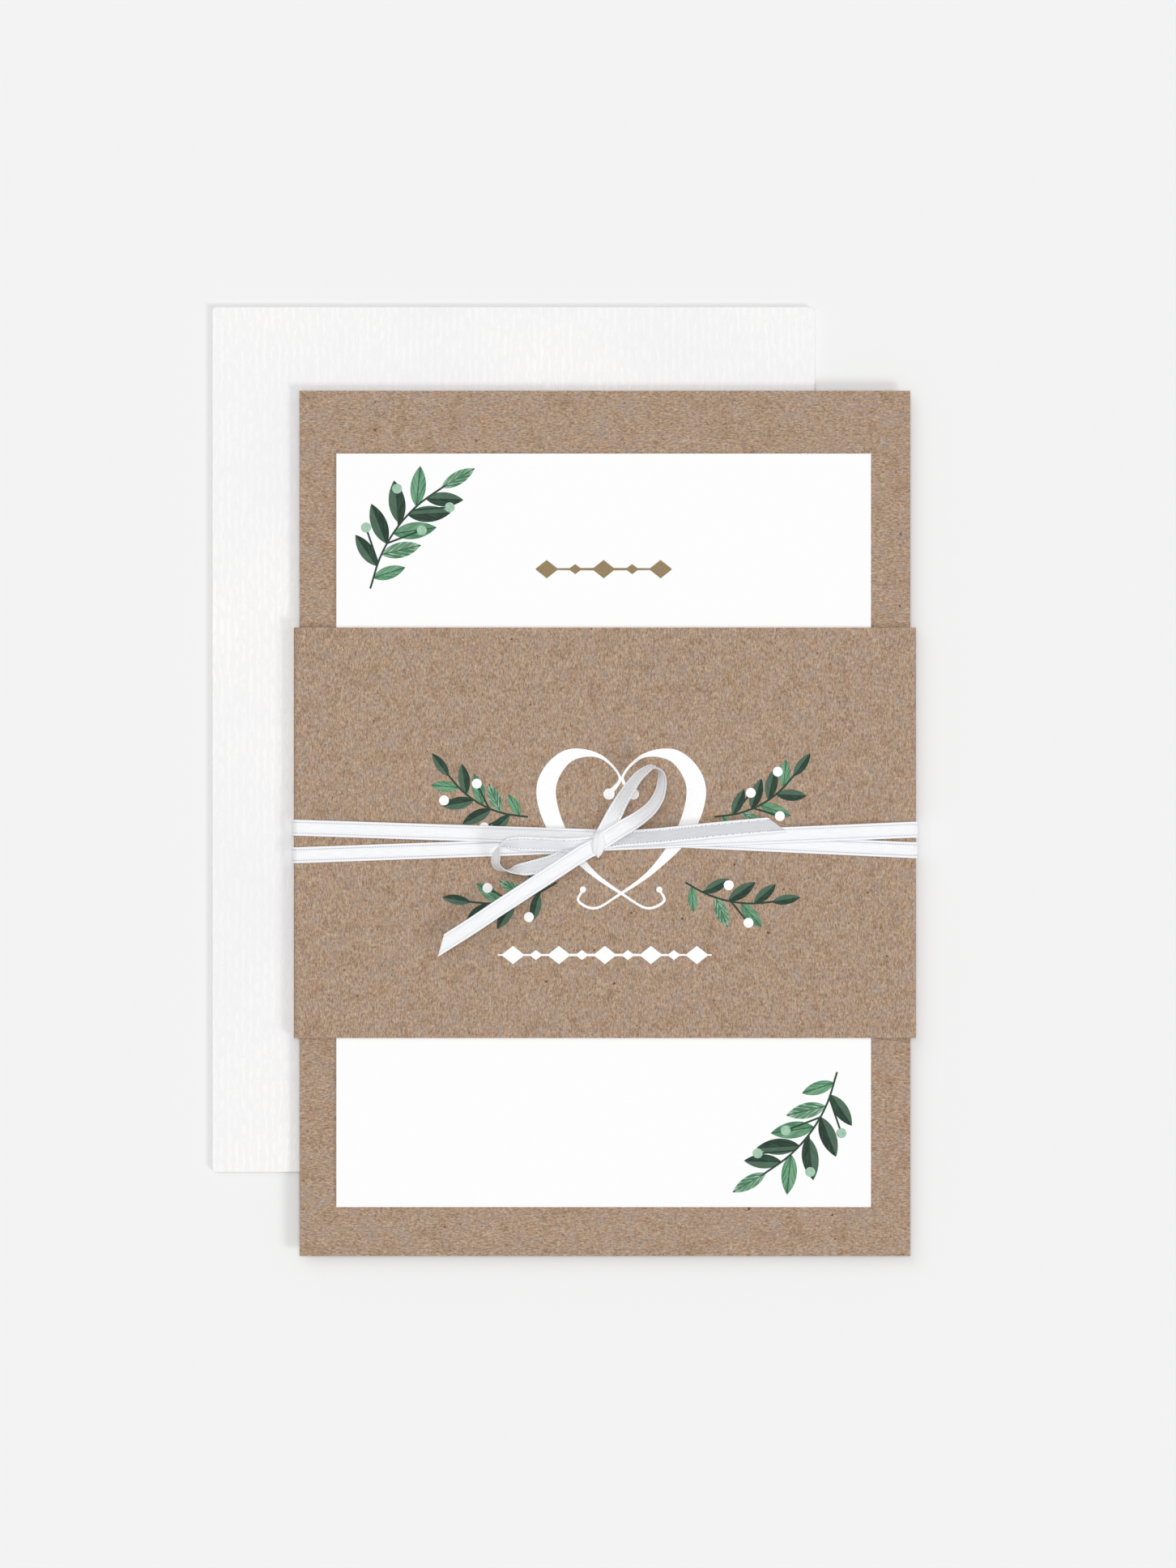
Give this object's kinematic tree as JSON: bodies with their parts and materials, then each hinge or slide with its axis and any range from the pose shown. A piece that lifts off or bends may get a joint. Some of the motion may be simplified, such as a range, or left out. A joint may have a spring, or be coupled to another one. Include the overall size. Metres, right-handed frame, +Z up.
{
  "type": "wedding invitation",
  "caption": "Flat wedding invitation set: envelope, kraft card and white insert card, held by a kraft belly band and a narrow white ribbon tied in a bow.",
  "frame": {"origin": "middle of the whole set, on the table that the envelope lies on", "axes": "+X to the right and +Y to the top of the set as it is read from above, +Z up off the table"},
  "size_m": [0.1388, 0.1866, 0.0077],
  "materials": {
    "envelope_paper": "white ribbed paper",
    "kraft_card": "uncoated kraft card with visible fibres",
    "kraft_band": "uncoated kraft paper with visible fibres",
    "white_card": "smooth white card",
    "satin_ribbon": "white satin ribbon with woven edges",
    "white_ink": "opaque white print",
    "gold_ink": "matt khaki print",
    "green_ink": "green leaf print"
  },
  "bodies": {
    "root": {"envelope": "envelope_paper", "invitation_card": "kraft_card", "insert_card": "white_card", "belly_band": "kraft_band", "ribbon": "satin_ribbon", "band_heart_print": "white_ink", "band_rule_print": "white_ink", "band_sprig_left": "green_ink", "band_sprig_right": "green_ink", "band_sprig_lower_left": "green_ink", "band_sprig_lower_right": "green_ink", "insert_rule_print": "gold_ink", "insert_sprig_top": "green_ink", "insert_sprig_bottom": "green_ink"}
  },
  "joints": []
}
